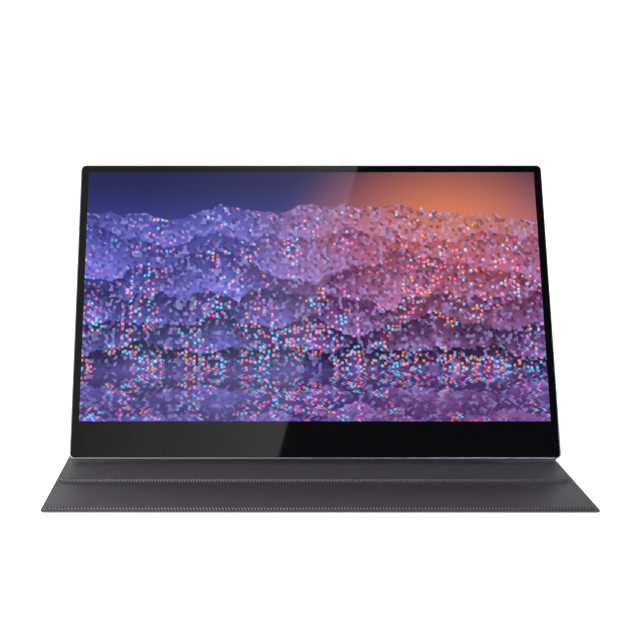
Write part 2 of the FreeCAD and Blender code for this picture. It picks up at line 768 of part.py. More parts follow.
def make_spine():
    """The narrow strip that wraps the monitor's lower edge when the cover is shut. It has no board."""
    foot_cut = fold_cut(foot_radius + fold_gap, foot_y, foot_radius)
    skin = make_skin(cover_width, spine_fold_y, foot_y, None)
    skin = skin.cut(fold_cut(fold_level + fold_gap, spine_fold_y, fold_level)).cut(foot_cut)
    lining_low = spine_fold_y + fold_lining_gap
    lining = block(cover_width, foot_y - lining_low, lining_thickness, 0, lining_low, skin_thickness)
    keep("spine_skin", skin, table_place)
    keep("spine_lining", lining.cut(foot_cut), table_place)


def make_strut():
    """The panel that props the monitor up. Its foot is a round bend and its upper end a fold bead."""
    foot = fold_rod(rear_panel_width, foot_radius, 0, foot_radius)
    inner_side_cut = block(cover_width + 2 * overrun, foot_radius + overrun, 2 * foot_radius, 0, 0,
                           panel_thickness)
    foot = foot.cut(inner_side_cut)
    skin = make_skin(rear_panel_width, 0, strut_length, None)
    skin = skin.fuse(fold_rod(rear_panel_width, fold_level, strut_length, fold_level)).fuse(foot)
    board = make_board(rear_panel_width, foot_radius + cover_margin, strut_length - fold_board_gap)
    lining = make_lining(rear_panel_width, foot_radius, strut_length - fold_lining_gap, None, board)
    keep("strut_skin", skin.removeSplitter(), strut_place)
    keep("strut_board", board, strut_place)
    keep("strut_lining", lining, strut_place)


def make_back_panel():
    """The panel that holds the monitor's back by magnets let into its board."""
    skin = make_skin(rear_panel_width, 0, back_panel_length, back_panel_length)
    skin = skin.cut(fold_cut(fold_level + fold_gap, 0, fold_level))
    board = make_board(rear_panel_width, fold_board_gap, back_panel_length - cover_margin)
    lining = make_lining(rear_panel_width, fold_lining_gap, back_panel_length, back_panel_length, board)
    magnets = []
    for side in (-1, 1):
        for step in (-1, 1):
            spot = Vector(side * keeper_middle + step * magnet_spread, back_panel_length / 2, skin_thickness)
            magnets.append(rod(magnet_radius, magnet_thickness, spot, upward))
            board = board.cut(rod(magnet_radius + magnet_gap, stiffener_thickness, spot, upward))
    keep("back_panel_skin", skin, back_panel_place)
    keep("back_panel_board", board, back_panel_place)
    keep("back_panel_lining", lining, back_panel_place)
    keep("back_panel_magnets", Part.makeCompound(magnets), back_panel_place)


make_cover_glass()
make_mid_frame()
make_port_strip()
make_rear_cover()
make_rear_cover_screws()
make_display_stack()
make_driver_board()
make_sockets()
make_main_board()
make_keys()
make_speakers()
make_keeper_plates()
make_base()
make_flap()
make_spine()
make_strut()
make_back_panel()

for name, shape in pieces.items():
    shape.exportStep(os.path.join("parts", name + ".step"))
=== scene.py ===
import bmesh
import bpy
import json
import math

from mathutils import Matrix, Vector


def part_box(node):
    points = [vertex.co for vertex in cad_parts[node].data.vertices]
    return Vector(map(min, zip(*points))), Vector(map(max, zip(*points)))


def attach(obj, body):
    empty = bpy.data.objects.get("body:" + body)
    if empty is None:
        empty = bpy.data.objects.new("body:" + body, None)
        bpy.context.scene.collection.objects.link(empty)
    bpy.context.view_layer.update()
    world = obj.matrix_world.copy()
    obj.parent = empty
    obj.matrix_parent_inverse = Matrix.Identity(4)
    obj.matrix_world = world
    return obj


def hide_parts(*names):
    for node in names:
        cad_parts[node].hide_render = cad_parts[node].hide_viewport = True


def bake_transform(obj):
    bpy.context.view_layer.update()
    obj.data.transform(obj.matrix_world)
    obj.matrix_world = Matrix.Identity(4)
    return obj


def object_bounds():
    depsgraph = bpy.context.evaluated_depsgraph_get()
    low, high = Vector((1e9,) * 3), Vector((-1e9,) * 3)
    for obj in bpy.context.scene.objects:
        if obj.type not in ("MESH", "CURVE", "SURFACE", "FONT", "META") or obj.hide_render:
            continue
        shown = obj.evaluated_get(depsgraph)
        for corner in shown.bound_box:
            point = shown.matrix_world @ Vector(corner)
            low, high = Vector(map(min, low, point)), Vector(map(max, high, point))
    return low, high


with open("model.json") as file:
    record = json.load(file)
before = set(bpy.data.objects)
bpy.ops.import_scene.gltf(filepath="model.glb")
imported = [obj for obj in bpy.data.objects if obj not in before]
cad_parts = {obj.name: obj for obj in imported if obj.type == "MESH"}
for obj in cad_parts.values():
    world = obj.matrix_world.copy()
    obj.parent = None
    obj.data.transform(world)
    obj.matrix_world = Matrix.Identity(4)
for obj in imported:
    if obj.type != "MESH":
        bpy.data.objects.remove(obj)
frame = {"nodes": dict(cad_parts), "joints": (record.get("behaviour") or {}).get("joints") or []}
cad_low, cad_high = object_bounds()

# Display panel
# A stack of glass, acrylic and polyester sheets in a moulded frame, with a strip of small lamps along its
# lower edge. Foam tape and clear bond hold it to the back of the front glass.
millimetre = 0.001
# The colour sockets of a mix node, by number because its other sockets have the same names.
mix_first, mix_second, mix_result = 6, 7, 2


def colour(code):
    """An sRGB hex colour as the linear colour that a shader takes."""
    shares = [int(code[place:place + 2], 16) / 255 for place in (1, 3, 5)]
    linear = [share / 12.92 if share <= 0.04045 else ((share + 0.055) / 1.055) ** 2.4 for share in shares]
    return (*linear, 1.0)


def add_node(tree, kind, inputs=None, **settings):
    """Add a node with its settings, and fill its inputs with plain values, other nodes' outputs, or other
    nodes, which stand for their first output in use."""
    node = tree.nodes.new(kind)
    for name, value in settings.items():
        setattr(node, name, value)
    for name, value in (inputs or {}).items():
        if isinstance(value, bpy.types.Node):
            value = next(output for output in value.outputs if output.enabled)
        if isinstance(value, bpy.types.NodeSocket):
            tree.links.new(value, node.inputs[name])
        else:
            node.inputs[name].default_value = value
    return node


def start_material(name, sockets):
    """A new material with one Principled shader whose plain sockets are set."""
    material = bpy.data.materials.new(name)
    material.use_nodes = True
    shader = material.node_tree.nodes["Principled BSDF"]
    for socket, value in sockets.items():
        shader.inputs[socket].default_value = value
    return material, material.node_tree, shader


def grained_finish(name, dark, light, grain, relief, sockets):
    """A material with a grain that tints the surface and stands out a little, both sizes in millimetres."""
    material, tree, shader = start_material(name, sockets)
    place = add_node(tree, "ShaderNodeTexCoord")
    noise = add_node(tree, "ShaderNodeTexNoise", {
        "Vector": place.outputs["Object"], "Scale": 1 / (grain * millimetre), "Detail": 3.0})
    tint = add_node(tree, "ShaderNodeMix", {
        "Factor": noise.outputs["Fac"], mix_first: colour(dark), mix_second: colour(light)}, data_type="RGBA")
    tree.links.new(tint.outputs[mix_result], shader.inputs["Base Color"])
    bump = add_node(tree, "ShaderNodeBump", {"Height": noise.outputs["Fac"], "Distance": relief * millimetre})
    tree.links.new(bump.outputs["Normal"], shader.inputs["Normal"])
    return material


def dress(material, *names):
    """Give CAD nodes a material."""
    for name in names:
        for slot in frame["nodes"][name].material_slots:
            slot.material = material


# Polarising film on display glass: nearly black and smooth.
dress(grained_finish("polarised_display_glass", "#07070b", "#0e0e16", grain=30.0, relief=0.001,
                     sockets={"Roughness": 0.25, "IOR": 1.5}), "lcd_cell")
# Clear cast acrylic and silicone bond, faintly blue where light gathers in them.
dress(grained_finish("clear_cast_acrylic", "#dfe6e8", "#f2f5f6", grain=20.0, relief=0.001,
                     sockets={"Roughness": 0.1, "IOR": 1.49, "Alpha": 0.35}), "light_guide", "optical_bond")
# White polyester film with a fine matt coat.
dress(grained_finish("white_polyester_film", "#dcdcda", "#efefed", grain=0.4, relief=0.01,
                     sockets={"Roughness": 0.6, "IOR": 1.57}), "diffuser_sheets", "reflector_sheet")
# White moulded polycarbonate, slightly uneven as it leaves the mould.
dress(grained_finish("white_polycarbonate", "#e2e2de", "#efefec", grain=0.8, relief=0.01,
                     sockets={"Roughness": 0.45, "IOR": 1.58}), "panel_frame", "led_bar")
# Rolled aluminium sheet, dull from the mill.
dress(grained_finish("rolled_aluminium", "#a9abad", "#c2c4c6", grain=0.6, relief=0.005,
                     sockets={"Roughness": 0.38, "Metallic": 1.0}), "panel_back_plate")
# Black closed-cell foam tape with open pores on its cut edge.
dress(grained_finish("black_foam_tape", "#0c0c0c", "#1d1d1d", grain=0.3, relief=0.08,
                     sockets={"Roughness": 0.9}), "glass_tape")

# Circuit boards, cables and switches
# Fibreglass boards under green lacquer, with moulded chips, joined by flat polyimide cables. The main board
# is screwed to posts of the metal back, and the key board lies beside the keys.
release = next(joint for joint in frame["joints"] if joint["name"] == "monitor_release")
screen_normal = Vector(release["axis"])
screen_turn = math.atan2(-screen_normal.y, screen_normal.z)
trace_pitch = 2.2 * millimetre
trace_width = 0.3 * millimetre
# Green lacquer over fibreglass: slightly glossy, with paler copper tracks showing through.
lacquer, lacquer_tree, lacquer_shader = start_material("green_lacquered_fibreglass", {
    "Roughness": 0.4, "IOR": 1.5})
lacquer_place = add_node(lacquer_tree, "ShaderNodeTexCoord")
lacquer_turned = add_node(lacquer_tree, "ShaderNodeMapping", {
    "Vector": lacquer_place.outputs["Object"], "Rotation": (screen_turn, 0, 0)}, vector_type="TEXTURE")
traces = add_node(lacquer_tree, "ShaderNodeTexBrick", {
    "Vector": lacquer_turned, "Color1": colour("#0f3b22"), "Color2": colour("#124527"),
    "Mortar": colour("#2b6a44"), "Scale": 1 / trace_pitch, "Mortar Size": trace_width / trace_pitch / 2,
    "Brick Width": 5.0, "Row Height": 1.0})
lacquer_tree.links.new(traces.outputs["Color"], lacquer_shader.inputs["Base Color"])
dress(lacquer, "driver_board", "main_board", "key_board")
# Amber polyimide film over copper strips.
dress(grained_finish("amber_polyimide_film", "#7a4312", "#96591c", grain=1.0, relief=0.01,
                     sockets={"Roughness": 0.35, "IOR": 1.7}), "driver_tails", "display_cable", "key_cable")
# Black glass-filled epoxy and nylon, matt with a fine grain.
black_moulding = grained_finish("black_moulded_nylon", "#0b0b0c", "#18181a", grain=0.35, relief=0.02,
                                sockets={"Roughness": 0.55, "IOR": 1.53})
dress(black_moulding, "main_chips", "power_switch", "menu_switch")
# Zinc-plated steel with a faint mottle from the plating bath.
plated_steel = grained_finish("zinc_plated_steel", "#8f9194", "#b4b6b9", grain=0.7, relief=0.004,
                              sockets={"Roughness": 0.32, "Metallic": 1.0})
dress(plated_steel, "board_screws")

# Speakers, wires and keeper strips
# Two flat speaker boxes behind the chin with rubber-covered wires to the main board, and two steel strips
# glued inside the metal back where the cover's magnets hold.
dress(black_moulding, "speaker_left", "speaker_right")
# Black rubber, drawn round the wires: dull and slightly uneven.
dress(grained_finish("black_wire_rubber", "#0d0d0d", "#1a1a1a", grain=0.5, relief=0.02,
                     sockets={"Roughness": 0.7}), "speaker_wires")
dress(plated_steel, "keeper_plates")

# Sockets
# Two drawn steel shells with contact tongues, a wider one beside them and a moulded audio jack. They are
# soldered to the main board and look out of holes in a moulded strip, let into the right side of the rim.

# Nickel-plated steel: bright, with a slightly warm shine.
nickel_steel = grained_finish("nickel_plated_steel", "#a3a19c", "#bdbbb5", grain=0.5, relief=0.003,
                              sockets={"Roughness": 0.22, "Metallic": 1.0})
dress(nickel_steel, "usb_c_socket_lower", "usb_c_socket_upper", "mini_hdmi_socket")
dress(black_moulding, "audio_jack", "port_strip")

# Metal back
# A pressed aluminium plate, blasted with fine beads and anodised dark grey. Eight countersunk screws hold
# it to the rim, and small slots in it let the speakers sound.

# Bead-blasted aluminium, anodised dark grey: satin, with a fine grain.
dress(grained_finish("bead_blasted_anodised_aluminium", "#43444a", "#4e4f56", grain=0.45, relief=0.02,
                     sockets={"Roughness": 0.42, "Metallic": 0.9}), "rear_cover")
# Blackened steel screws, a little oily.
dress(grained_finish("blackened_steel", "#1b1b1d", "#29292c", grain=0.4, relief=0.006,
                     sockets={"Roughness": 0.35, "Metallic": 0.9}), "rear_cover_screws")

# Rim
# A milled aluminium frame, anodised in a pale bluish grey, with a bright cut bevel round its front. The
# glass lies in it on foam tape, and the back is screwed to its bosses.

# Milled aluminium, anodised pale: a smooth metal shine that shows as a thin bright line.
dress(grained_finish("pale_anodised_aluminium", "#a6a6b4", "#b2b2c0", grain=0.5, relief=0.006,
                     sockets={"Roughness": 0.25, "Metallic": 1.0}), "mid_frame")

# Keys
# A small aluminium push button and a black ribbed wheel of moulded nylon. They stand a little out of the
# rim's left side and work the switches on the key board.

# Aluminium, anodised grey: a soft metal shine.
dress(grained_finish("anodised_button_aluminium", "#4c4d55", "#5b5c66", grain=0.4, relief=0.01,
                     sockets={"Roughness": 0.38, "Metallic": 0.9}), "power_button")
dress(black_moulding, "menu_wheel")

# Front glass and its picture
# A sheet of toughened glass, printed black behind its border and bonded to the display. The lit picture is
# an invented evening view: hills with the houses and lamps of small towns above still water.
picture_width = 344.2 * millimetre
picture_height = 193.6 * millimetre
picture_low = 27.4 * millimetre
picture_shape = picture_width / picture_height
screen_up = screen_normal.cross(Vector((1, 0, 0)))
rim_points = [vertex.co for vertex in frame["nodes"]["mid_frame"].data.vertices]
screen_foot = min(point.dot(screen_up) for point in rim_points)
screen_front = max(point.dot(screen_normal) for point in rim_points)
picture_corner = screen_up * (screen_foot + picture_low) + screen_normal * screen_front
rim_low, rim_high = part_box("mid_frame")
picture_corner.x = (rim_low.x + rim_high.x - picture_width) / 2

# Toughened glass, printed black on its back: a deep, even black under a face as smooth as a mirror.
glass, picture, glass_shader = start_material("back_printed_toughened_glass", {
    "Base Color": colour("#030304"), "Roughness": 0.03, "IOR": 1.5, "Emission Strength": 1.0})
glass_place = add_node(picture, "ShaderNodeTexCoord")
on_picture = add_node(picture, "ShaderNodeMapping", {
    "Vector": glass_place.outputs["Object"], "Location": picture_corner, "Rotation": (screen_turn, 0, 0),
    "Scale": (picture_width, picture_height, 1.0)}, vector_type="TEXTURE")
picture_axes = add_node(picture, "ShaderNodeSeparateXYZ", {"Vector": on_picture})
across = picture_axes.outputs["X"]
up = picture_axes.outputs["Y"]

# Below the shore the view is the same view turned over, a little rippled.
shore = 0.20
ripple_height = 0.012
ripple_counts = (9.0, 110.0, 0.0)
under_shore = add_node(picture, "ShaderNodeMath", {0: up, 1: shore}, operation="LESS_THAN")
ripple_place = add_node(picture, "ShaderNodeVectorMath", {
    0: on_picture, 1: ripple_counts}, operation="MULTIPLY")
ripple = add_node(picture, "ShaderNodeTexNoise", {"Vector": ripple_place, "Scale": 1.0, "Detail": 2.0})
ripple_shift = add_node(picture, "ShaderNodeMapRange", {
    "Value": ripple.outputs["Fac"], "To Min": -ripple_height, "To Max": ripple_height}, clamp=False)
water_shift = add_node(picture, "ShaderNodeMath", {0: ripple_shift, 1: under_shore}, operation="MULTIPLY")
rippled_across = add_node(picture, "ShaderNodeMath", {0: across, 1: water_shift}, operation="ADD")
view_across = add_node(picture, "ShaderNodeMath", {0: rippled_across, 1: picture_shape}, operation="MULTIPLY")
above_shore = add_node(picture, "ShaderNodeMath", {0: up, 1: shore}, operation="SUBTRACT")
from_shore = add_node(picture, "ShaderNodeMath", {0: above_shore}, operation="ABSOLUTE")
view_up = add_node(picture, "ShaderNodeMath", {0: from_shore, 1: shore}, operation="ADD")
view_place = add_node(picture, "ShaderNodeCombineXYZ", {"X": view_across, "Y": view_up})

# The sky, from purple haze over the hills to deep blue, with the last glow on the right. Each coat of colour
# follows the height or the distance from the glow, from one value to another, and has a share at both.
glow_place = (0.80 * picture_shape, 0.62, 0.0)
glow_squash = 1.2
from_glow = add_node(picture, "ShaderNodeMapping", {
    "Vector": view_place, "Location": glow_place, "Scale": (1.0, 1 / glow_squash, 1.0)},
    vector_type="TEXTURE")
glow_distance = add_node(picture, "ShaderNodeVectorMath", {0: from_glow}, operation="LENGTH")
sky_coats = [
    (view_up, 0.35, 0.70, 0.0, 1.0, "#3a3d9c"),
    (view_up, 0.62, 1.00, 0.0, 1.0, "#171a52"),
    (glow_distance, 0.02, 0.75, 1.0, 0.0, "#f08a4c"),
    (glow_distance, 0.00, 0.22, 0.8, 0.0, "#ffd98c"),
]
view = colour("#7d5bb5")
for guide, low, high, start, end, tint in sky_coats:
    share = add_node(picture, "ShaderNodeMapRange", {
        "Value": guide, "From Min": low, "From Max": high, "To Min": start, "To Max": end},
        interpolation_type="SMOOTHSTEP")
    view = add_node(picture, "ShaderNodeMix", {
        "Factor": share, mix_first: view, mix_second: colour(tint)}, data_type="RGBA")

# What lies on every hill: haze, warmer near the glow, and houses, some dark and some pale.
house_pitch = 2.4 * millimetre
warmth = add_node(picture, "ShaderNodeMapRange", {
    "Value": glow_distance, "From Min": 0.05, "From Max": 0.95, "To Min": 1.0, "To Max": 0.0},
    interpolation_type="SMOOTHSTEP")
haze = add_node(picture, "ShaderNodeMix", {
    "Factor": warmth, mix_first: colour("#847ff0"), mix_second: colour("#c4769a")}, data_type="RGBA")
houses = add_node(picture, "ShaderNodeTexVoronoi", {
    "Vector": view_place, "Scale": picture_height / house_pitch, "Randomness": 0.85},
    voronoi_dimensions="2D", distance="CHEBYCHEV")
house_marks = add_node(picture, "ShaderNodeSeparateColor", {"Color": houses.outputs["Color"]})
dark_houses = add_node(picture, "ShaderNodeMapRange", {
    "Value": house_marks.outputs["Red"], "From Min": 0.45, "To Max": 0.55}, interpolation_type="SMOOTHSTEP")
pale_houses = add_node(picture, "ShaderNodeMapRange", {
    "Value": house_marks.outputs["Green"], "From Min": 0.60, "To Max": 0.40}, interpolation_type="SMOOTHSTEP")

# The lamps of the towns: small squares, orange, pink or blue.
town_lamp_size = 1.5 * millimetre
town_lamp_pitch = 3.2 * millimetre
town_lamps = add_node(picture, "ShaderNodeTexVoronoi", {
    "Vector": view_place, "Scale": picture_height / town_lamp_pitch, "Randomness": 0.9},
    voronoi_dimensions="2D", distance="CHEBYCHEV")
town_lamp_marks = add_node(picture, "ShaderNodeSeparateColor", {"Color": town_lamps.outputs["Color"]})
lamp_squares = add_node(picture, "ShaderNodeMapRange", {
    "Value": town_lamps.outputs["Distance"], "From Min": 0.05, "From Max": town_lamp_size / town_lamp_pitch,
    "To Min": 1.0, "To Max": 0.0}, interpolation_type="SMOOTHSTEP")
lamp_colour = colour("#ff9a3d")
for mark, limit, tint in (("Green", 0.55, "#ff5f9e"), ("Blue", 0.68, "#5fd8ff")):
    tinted = add_node(picture, "ShaderNodeMath", {
        0: town_lamp_marks.outputs[mark], 1: limit}, operation="GREATER_THAN")
    lamp_colour = add_node(picture, "ShaderNodeMix", {
        "Factor": tinted, mix_first: lamp_colour, mix_second: colour(tint)}, data_type="RGBA")

# Hills, from far to near: the height of their crest, how far it rises and falls, how often and from what
# start, their colours away from and near the glow, and the share of their lamps that is lit.
hills = [
    (0.84, 0.14, 1.4, 3.1, "#4a4aa4", "#d27a58", 0.12),
    (0.73, 0.15, 1.9, 7.7, "#3d3c94", "#b75a58", 0.22),
    (0.61, 0.15, 2.4, 12.4, "#322f82", "#954656", 0.34),
    (0.49, 0.14, 2.9, 19.2, "#27266e", "#743751", 0.46),
    (0.38, 0.12, 3.4, 22.8, "#1c1d58", "#542a49", 0.58),
    (0.28, 0.09, 4.0, 26.5, "#121442", "#381d3e", 0.66),
]
crest_softness = 0.004
haze_depth = 0.20
town_scale = 4.0
for crest, rise, frequency, seed, cool, warm, lit in hills:
    crest_place = add_node(picture, "ShaderNodeMath", {
        0: view_across, 1: frequency, 2: seed}, operation="MULTIPLY_ADD")
    crest_noise = add_node(picture, "ShaderNodeTexNoise", {
        "W": crest_place, "Scale": 1.0, "Detail": 6.0, "Roughness": 0.55}, noise_dimensions="1D")
    crest_line = add_node(picture, "ShaderNodeMapRange", {
        "Value": crest_noise.outputs["Fac"], "To Min": crest - rise, "To Max": crest + rise}, clamp=False)
    depth = add_node(picture, "ShaderNodeMath", {0: crest_line, 1: view_up}, operation="SUBTRACT")
    covered = add_node(picture, "ShaderNodeMapRange", {
        "Value": depth, "From Min": -crest_softness, "From Max": crest_softness},
        interpolation_type="SMOOTHSTEP")
    haze_share = add_node(picture, "ShaderNodeMapRange", {
        "Value": depth, "From Max": haze_depth, "To Max": 0.70}, interpolation_type="SMOOTHSTEP")
    hill = colour(cool)
    for share, tint in ((warmth, colour(warm)), (haze_share, haze), (dark_houses, colour("#15143c")),
                        (pale_houses, colour("#bcb4ff"))):
        hill = add_node(picture, "ShaderNodeMix", {
            "Factor": share, mix_first: hill, mix_second: tint}, data_type="RGBA")
    towns = add_node(picture, "ShaderNodeTexNoise", {
        "Vector": view_place, "Scale": town_scale + frequency, "Detail": 1.0})
    in_town = add_node(picture, "ShaderNodeMapRange", {
        "Value": towns.outputs["Fac"], "From Min": 0.44, "From Max": 0.54}, interpolation_type="SMOOTHSTEP")
    chosen = add_node(picture, "ShaderNodeMath", {
        0: town_lamp_marks.outputs["Red"], 1: lit}, operation="LESS_THAN")
    lamp_light = lamp_squares
    for share in (chosen, in_town):
        lamp_light = add_node(picture, "ShaderNodeMath", {0: lamp_light, 1: share}, operation="MULTIPLY")
    hill = add_node(picture, "ShaderNodeMix", {
        "Factor": lamp_light, mix_first: hill, mix_second: lamp_colour}, data_type="RGBA", blend_type="ADD")
    view = add_node(picture, "ShaderNodeMix", {
        "Factor": covered, mix_first: view, mix_second: hill}, data_type="RGBA")

# The water is a little more purple than what it mirrors, and outside the picture the glass is unlit.
water_tint = 0.25
half_picture = 0.5
water_share = add_node(picture, "ShaderNodeMath", {0: under_shore, 1: water_tint}, operation="MULTIPLY")
view = add_node(picture, "ShaderNodeMix", {
    "Factor": water_share, mix_first: view, mix_second: colour("#6a4ba8")}, data_type="RGBA")
from_middle = add_node(picture, "ShaderNodeVectorMath", {
    0: on_picture, 1: (half_picture, half_picture, 0.0)}, operation="SUBTRACT")
outwards = add_node(picture, "ShaderNodeVectorMath", {0: from_middle}, operation="ABSOLUTE")
outward_axes = add_node(picture, "ShaderNodeSeparateXYZ", {"Vector": outwards})
furthest = add_node(picture, "ShaderNodeMath", {
    0: outward_axes.outputs["X"], 1: outward_axes.outputs["Y"]}, operation="MAXIMUM")
inside = add_node(picture, "ShaderNodeMath", {0: furthest, 1: half_picture}, operation="LESS_THAN")
lit_picture = add_node(picture, "ShaderNodeMix", {
    "Factor": inside, mix_first: colour("#000000"), mix_second: view}, data_type="RGBA")
picture.links.new(lit_picture.outputs[mix_result], glass_shader.inputs["Emission Color"])
dress(glass, "cover_glass")

# Boards and magnets in the cover
# Grey fibre board, cut with rounded corners and glued between the two leather sheets of each panel. Four
# plated magnets sit in holes of the back panel's board.

# Pressed fibre board: dull grey and mottled by its short fibres.
dress(grained_finish("grey_fibre_board", "#3f3d3a", "#5a5752", grain=0.6, relief=0.05,
                     sockets={"Roughness": 0.9}),
      "base_board", "flap_board", "strut_board", "back_panel_board")
dress(nickel_steel, "back_panel_magnets")

# Base panel of the cover
# Two sheets of synthetic leather, embossed with a diagonal twill, glued round a board and pressed together
# in a flat margin. The inner sheet rises steeply from it to the board, and the monitor stands on that sheet.
fold_names = {"flap_fold": "crease", "spine_fold": "spine", "strut_fold": "foot", "back_fold": "back"}
folds = {fold_names[joint["name"]]: Vector(joint["pos_m"]) for joint in frame["joints"]
         if joint["name"] in fold_names}
lining_low, lining_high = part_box("base_lining")
board_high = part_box("base_board")[1]
cover_width = lining_high.x - lining_low.x
skin_thickness = lining_low.z
panel_thickness = lining_high.z
lining_thickness = panel_thickness - board_high.z
edge_level = skin_thickness + lining_thickness
band_reach = lining_low.y - folds["crease"].y
slope_foot = 2.2 * millimetre
slope_top = 3.2 * millimetre
corner_radius = 3.0 * millimetre
fold_corner_radius = 0.1 * millimetre
corner_steps = 6
slope_steps = 9
edge_round = 0.1 * millimetre
edge_round_steps = 2
sharp_edge = math.radians(60)
smooth_edge = math.radians(35)
cut_edge_tilt = 0.3
band_steps = 12
tiny = 0.01 * millimetre

# Embossed synthetic leather: charcoal, with soft diagonal ribs that catch the light, and a fine grain. The
# rib crests are also painted paler as a painted highlight, and the grooves near black as painted shade.
rib_pitch = 2.07 * millimetre
rib_height = 0.40 * millimetre
grain_size = 0.5 * millimetre
grain_share = 0.2
leather, leather_tree, leather_shader = start_material("twill_embossed_synthetic_leather", {
    "Roughness": 0.5, "IOR": 1.5, "Specular IOR Level": 0.15})
leather_place = add_node(leather_tree, "ShaderNodeUVMap", uv_map="cover")
leather_axes = add_node(leather_tree, "ShaderNodeSeparateXYZ", {"Vector": leather_place})
across_ribs = add_node(leather_tree, "ShaderNodeMath", {
    0: leather_axes.outputs["X"], 1: leather_axes.outputs["Y"]}, operation="ADD")
rib_phase = add_node(leather_tree, "ShaderNodeMath", {
    0: across_ribs, 1: 2 * math.pi / rib_pitch}, operation="MULTIPLY")
rib_wave = add_node(leather_tree, "ShaderNodeMath", {0: rib_phase}, operation="SINE")
rib = add_node(leather_tree, "ShaderNodeMapRange", {"Value": rib_wave, "From Min": -1.0})
leather_grain = add_node(leather_tree, "ShaderNodeTexNoise", {
    "Vector": leather_place, "Scale": 1 / grain_size, "Detail": 2.0})
leather_height = add_node(leather_tree, "ShaderNodeMath", {
    0: leather_grain.outputs["Fac"], 1: grain_share, 2: rib}, operation="MULTIPLY_ADD")
leather_bump = add_node(leather_tree, "ShaderNodeBump", {"Height": leather_height, "Distance": rib_height})
leather_tree.links.new(leather_bump.outputs["Normal"], leather_shader.inputs["Normal"])
# Painted highlight and painted shade: the base colour runs from near black in the rib grooves to pale grey on
# the crests.
painted_rib_highlight_and_shade = add_node(leather_tree, "ShaderNodeMix", {
    "Factor": rib, mix_first: colour("#060507"), mix_second: colour("#434246")}, data_type="RGBA")
leather_tree.links.new(painted_rib_highlight_and_shade.outputs[mix_result], leather_shader.inputs["Base Color"])
# The cut edge of the sheets shows their matt, reddish backing.
cut_edge = grained_finish("cut_leather_backing", "#3a2d2d", "#4a3a39", grain=0.4, relief=0.02,
                          sockets={"Roughness": 0.85})


def select_where(sheet, kind, test):
    """In edit mode, select only the vertices, edges or faces of a sheet that pass a test."""
    bpy.ops.mesh.select_mode(type=kind)
    bpy.ops.mesh.select_all(action="DESELECT")
    drawn = bmesh.from_edit_mesh(sheet.data)
    for element in {"VERT": drawn.verts, "EDGE": drawn.edges, "FACE": drawn.faces}[kind]:
        if test(element):
            element.select_set(True)
    bmesh.update_edit_mesh(sheet.data)


def lies_at(level):
    """A test for edges and faces that lie flat at a level."""
    return lambda element: all(abs(vertex.co.z - level) < tiny for vertex in element.verts)


def start_sheet(name):
    """A new piece with an empty mesh, open in edit mode."""
    bpy.ops.object.select_all(action="DESELECT")
    bpy.ops.mesh.primitive_plane_add(size=1)
    sheet = bpy.context.object
    sheet.name = name
    bpy.ops.object.mode_set(mode="EDIT")
    bpy.ops.mesh.select_all(action="SELECT")
    bpy.ops.mesh.delete(type="VERT")
    return sheet


def add_outline(sheet, width, low, high, inset, level, low_radius, high_radius):
    """In edit mode, add a flat face drawn in by an inset from a panel's outline, with rounded corners."""
    half = width / 2 - inset
    ends = (low + inset, high - inset)
    middle = (0, sum(ends) / 2, level)
    bpy.ops.mesh.select_all(action="DESELECT")
    bpy.ops.mesh.primitive_plane_add(size=1, location=middle)
    bpy.ops.transform.resize(value=(2 * half, ends[1] - ends[0], 1), center_override=middle)
    for end, radius in zip(ends, (low_radius, high_radius)):
        corners = [Vector((x, end, level)) for x in (-half, half)]
        select_where(sheet, "VERT",
                     lambda vertex: min((vertex.co - corner).length for corner in corners) < tiny)
        bpy.ops.mesh.bevel(offset=radius, segments=corner_steps, affect="VERTICES")


def run_on(sheet, start, end):
    """In edit mode, draw the sheet's edge at start out to end in short steps, for a fold."""
    select_where(sheet, "EDGE", lambda edge: all(abs(vertex.co.y - start) < tiny for vertex in edge.verts)
                 and len(edge.link_faces) == 1)
    for _ in range(band_steps):
        bpy.ops.mesh.extrude_region_move(TRANSFORM_OT_translate={"value": (0, (end - start) / band_steps, 0)})


def finish_sheet(sheet, thickness, along_offset, bend):
    """Soften a drawn sheet's slope, give it its thickness, its leather and its place, and round its edges."""
    bpy.ops.mesh.select_all(action="SELECT")
    bpy.ops.mesh.normals_make_consistent(inside=False)
    bpy.ops.object.mode_set(mode="OBJECT")
    if max(sheet.data.polygons, key=lambda face: face.area).normal.z < 0:
        sheet.data.flip_normals()
    for vertex in sheet.data.vertices:
        if vertex.co.z > edge_level:
            share = (vertex.co.z - edge_level) / (panel_thickness - edge_level)
            vertex.co.z = edge_level + (panel_thickness - edge_level) * share * share * (3 - 2 * share)
    solidify = sheet.modifiers.new("thickness", "SOLIDIFY")
    solidify.thickness = thickness
    solidify.offset = -1
    bpy.ops.object.modifier_apply(modifier=solidify.name)
    bevel = sheet.modifiers.new("edges", "BEVEL")
    bevel.width = edge_round
    bevel.segments = edge_round_steps
    bevel.limit_method = "ANGLE"
    bevel.angle_limit = sharp_edge
    bpy.ops.object.modifier_apply(modifier=bevel.name)
    for material in (leather, cut_edge):
        sheet.data.materials.append(material)
    # Faces that stand upright while the sheet is flat are its cut edge.
    for face in sheet.data.polygons:
        face.material_index = int(abs(face.normal.z) < cut_edge_tilt)
    cover_map = sheet.data.uv_layers.new(name="cover")
    for corner in sheet.data.loops:
        flat = sheet.data.vertices[corner.vertex_index].co
        cover_map.data[corner.index].uv = (flat.x, flat.y + along_offset)
    for vertex in sheet.data.vertices:
        vertex.co.y, vertex.co.z = bend(vertex.co.y, vertex.co.z)
    bpy.ops.object.shade_smooth_by_angle(angle=smooth_edge)


def stay_flat(along, level):
    """The place of a point of a panel that lies on the table."""
    return along, level


